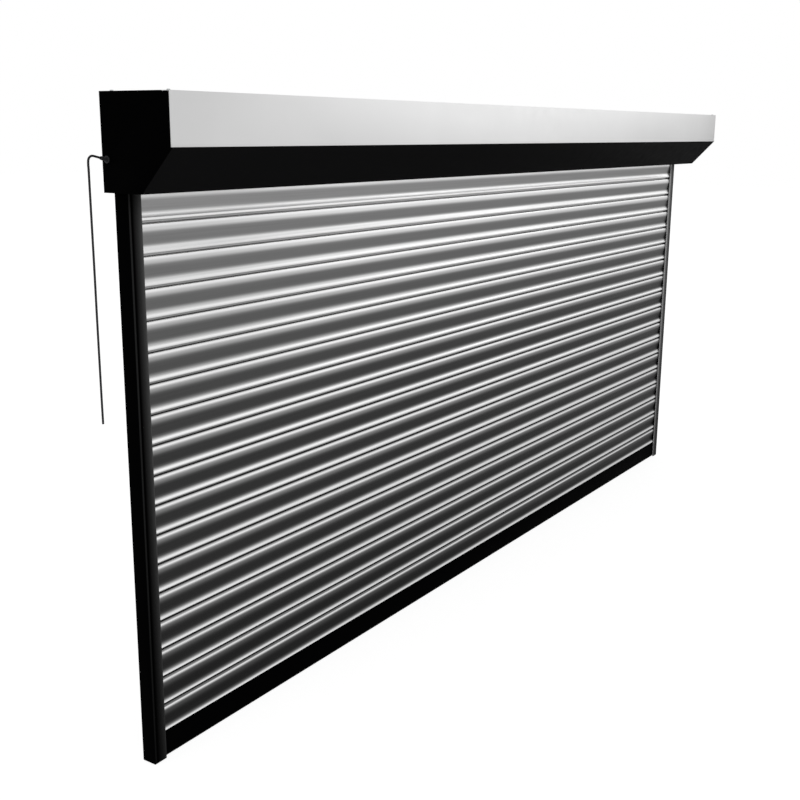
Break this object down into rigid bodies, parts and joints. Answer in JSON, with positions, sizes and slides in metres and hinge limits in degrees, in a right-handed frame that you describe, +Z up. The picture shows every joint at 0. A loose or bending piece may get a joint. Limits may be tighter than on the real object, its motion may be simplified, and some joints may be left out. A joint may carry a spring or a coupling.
{
  "type": "fire-rated roller shutter",
  "caption": "Surface-mounted steel roller shutter: bevelled head box, side guides, lath curtain with bottom bar, motor-driven barrel inside and a hanging motor lead.",
  "frame": {"origin": "on the head box's rear face, against the wall that carries the shutter: midway along it and 106 mm under its top", "axes": "+X along the shutter to the right as seen from the front, +Y back into the wall, +Z up"},
  "size_m": [3.4815, 0.212, 1.6225],
  "materials": {
    "pale_coat": "satin silver-grey powder coat",
    "black_coat": "satin black powder coat",
    "lath_steel": "roll-formed grey steel with brighter rolled edges",
    "zinc_steel": "zinc-plated steel",
    "spring_steel": "oiled dark spring steel",
    "motor_coat": "pale grey motor tube",
    "black_plastic": "moulded black polyamide",
    "seal_strip": "black intumescent and rubber strip",
    "cable_jacket": "black round cable jacket"
  },
  "bodies": {
    "housing": {"end_cap_left": "black_coat", "end_cap_right": "black_coat", "box_back_panel": "pale_coat", "box_top_panel": "pale_coat", "front_cover": "pale_coat", "bevel_cover": "black_coat", "mouth_seal": "seal_strip", "top_screw_left_front": "zinc_steel", "top_screw_left_rear": "zinc_steel", "top_screw_right_front": "zinc_steel", "top_screw_right_rear": "zinc_steel", "guide_left": "black_coat", "guide_right": "black_coat", "guide_seal_left_front": "seal_strip", "guide_seal_left_rear": "seal_strip", "guide_seal_right_front": "seal_strip", "guide_seal_right_rear": "seal_strip", "inlet_left": "black_plastic", "inlet_right": "black_plastic", "motor_bracket": "zinc_steel", "motor_head": "black_plastic", "motor_body": "motor_coat", "bearing_bracket": "zinc_steel", "bearing": "spring_steel", "strain_relief": "black_plastic", "motor_cable": "cable_jacket", "inner_lead": "cable_jacket"},
    "bottom_bar": {"bottom_bar": "black_coat", "floor_seal": "seal_strip"},
    "barrel": {"barrel": "zinc_steel", "crown_ring": "black_plastic", "drive_wheel": "black_plastic", "output_shaft": "zinc_steel", "idler_capsule": "black_plastic", "axle_pin": "zinc_steel", "hanger_strap_1": "spring_steel", "hanger_strap_2": "spring_steel", "hanger_strap_3": "spring_steel", "hanger_strap_4": "spring_steel"},
    "slat_01": {"slat_01": "lath_steel"},
    "slat_02": {"slat_02": "lath_steel"},
    "slat_03": {"slat_03": "lath_steel"},
    "slat_04": {"slat_04": "lath_steel"},
    "slat_05": {"slat_05": "lath_steel"},
    "slat_06": {"slat_06": "lath_steel"},
    "slat_07": {"slat_07": "lath_steel"},
    "slat_08": {"slat_08": "lath_steel"},
    "slat_09": {"slat_09": "lath_steel"},
    "slat_10": {"slat_10": "lath_steel"},
    "slat_11": {"slat_11": "lath_steel"},
    "slat_12": {"slat_12": "lath_steel"},
    "slat_13": {"slat_13": "lath_steel"},
    "slat_14": {"slat_14": "lath_steel"},
    "slat_15": {"slat_15": "lath_steel"},
    "slat_16": {"slat_16": "lath_steel"},
    "slat_17": {"slat_17": "lath_steel"},
    "slat_18": {"slat_18": "lath_steel"},
    "slat_19": {"slat_19": "lath_steel"}
  },
  "joints": [
    {"name": "curtain_lift", "type": "slide", "parent": "housing", "child": "bottom_bar", "axis": [0, 0, 1], "range_m": [0, 1.33]},
    {"name": "barrel_spin", "type": "hinge", "parent": "housing", "child": "barrel", "pos_m": [0, -0.09586, 0.01014], "axis": [1, 0, 0], "range_deg": [0, 1048]},
    {"name": "slat_01_rise", "type": "slide", "parent": "housing", "child": "slat_01", "axis": [0, 0, 1], "range_m": [0, 1.3302], "deforming": ["slat_01"]},
    {"name": "slat_02_rise", "type": "slide", "parent": "housing", "child": "slat_02", "axis": [0, 0, 1], "range_m": [0, 1.2626], "deforming": ["slat_02"]},
    {"name": "slat_03_rise", "type": "slide", "parent": "housing", "child": "slat_03", "axis": [0, 0, 1], "range_m": [0, 1.195], "deforming": ["slat_03"]},
    {"name": "slat_04_rise", "type": "slide", "parent": "housing", "child": "slat_04", "axis": [0, 0, 1], "range_m": [0, 1.1274], "deforming": ["slat_04"]},
    {"name": "slat_05_rise", "type": "slide", "parent": "housing", "child": "slat_05", "axis": [0, 0, 1], "range_m": [0, 1.0598], "deforming": ["slat_05"]},
    {"name": "slat_06_rise", "type": "slide", "parent": "housing", "child": "slat_06", "axis": [0, 0, 1], "range_m": [0, 0.9922], "deforming": ["slat_06"]},
    {"name": "slat_07_rise", "type": "slide", "parent": "housing", "child": "slat_07", "axis": [0, 0, 1], "range_m": [0, 0.9246], "deforming": ["slat_07"]},
    {"name": "slat_08_rise", "type": "slide", "parent": "housing", "child": "slat_08", "axis": [0, 0, 1], "range_m": [0, 0.857], "deforming": ["slat_08"]},
    {"name": "slat_09_rise", "type": "slide", "parent": "housing", "child": "slat_09", "axis": [0, 0, 1], "range_m": [0, 0.7894], "deforming": ["slat_09"]},
    {"name": "slat_10_rise", "type": "slide", "parent": "housing", "child": "slat_10", "axis": [0, 0, 1], "range_m": [0, 0.7218], "deforming": ["slat_10"]},
    {"name": "slat_11_rise", "type": "slide", "parent": "housing", "child": "slat_11", "axis": [0, 0, 1], "range_m": [0, 0.6542], "deforming": ["slat_11"]},
    {"name": "slat_12_rise", "type": "slide", "parent": "housing", "child": "slat_12", "axis": [0, 0, 1], "range_m": [0, 0.5866], "deforming": ["slat_12"]},
    {"name": "slat_13_rise", "type": "slide", "parent": "housing", "child": "slat_13", "axis": [0, 0, 1], "range_m": [0, 0.519], "deforming": ["slat_13"]},
    {"name": "slat_14_rise", "type": "slide", "parent": "housing", "child": "slat_14", "axis": [0, 0, 1], "range_m": [0, 0.4514], "deforming": ["slat_14"]},
    {"name": "slat_15_rise", "type": "slide", "parent": "housing", "child": "slat_15", "axis": [0, 0, 1], "range_m": [0, 0.3838], "deforming": ["slat_15"]},
    {"name": "slat_16_rise", "type": "slide", "parent": "housing", "child": "slat_16", "axis": [0, 0, 1], "range_m": [0, 0.3162], "deforming": ["slat_16"]},
    {"name": "slat_17_rise", "type": "slide", "parent": "housing", "child": "slat_17", "axis": [0, 0, 1], "range_m": [0, 0.2486], "deforming": ["slat_17"]},
    {"name": "slat_18_rise", "type": "slide", "parent": "housing", "child": "slat_18", "axis": [0, 0, 1], "range_m": [0, 0.181], "deforming": ["slat_18"]},
    {"name": "slat_19_rise", "type": "slide", "parent": "housing", "child": "slat_19", "axis": [0, 0, 1], "range_m": [0, 0.1134], "deforming": ["slat_19"]}
  ],
  "couplings": [
    {"joint": "barrel_spin", "follows": "curtain_lift", "rad_per_m": 13.74},
    {"joint": "slat_01_rise", "follows": "curtain_lift", "ratio": 1},
    {"joint": "slat_02_rise", "follows": "curtain_lift", "ratio": 0.94917},
    {"joint": "slat_03_rise", "follows": "curtain_lift", "ratio": 0.89835},
    {"joint": "slat_04_rise", "follows": "curtain_lift", "ratio": 0.84752},
    {"joint": "slat_05_rise", "follows": "curtain_lift", "ratio": 0.79669},
    {"joint": "slat_06_rise", "follows": "curtain_lift", "ratio": 0.74587},
    {"joint": "slat_07_rise", "follows": "curtain_lift", "ratio": 0.69504},
    {"joint": "slat_08_rise", "follows": "curtain_lift", "ratio": 0.64421},
    {"joint": "slat_09_rise", "follows": "curtain_lift", "ratio": 0.59338},
    {"joint": "slat_10_rise", "follows": "curtain_lift", "ratio": 0.54256},
    {"joint": "slat_11_rise", "follows": "curtain_lift", "ratio": 0.49173},
    {"joint": "slat_12_rise", "follows": "curtain_lift", "ratio": 0.4409},
    {"joint": "slat_13_rise", "follows": "curtain_lift", "ratio": 0.39008},
    {"joint": "slat_14_rise", "follows": "curtain_lift", "ratio": 0.33925},
    {"joint": "slat_15_rise", "follows": "curtain_lift", "ratio": 0.28842},
    {"joint": "slat_16_rise", "follows": "curtain_lift", "ratio": 0.23759},
    {"joint": "slat_17_rise", "follows": "curtain_lift", "ratio": 0.18677},
    {"joint": "slat_18_rise", "follows": "curtain_lift", "ratio": 0.13594},
    {"joint": "slat_19_rise", "follows": "curtain_lift", "ratio": 0.085113}
  ]
}
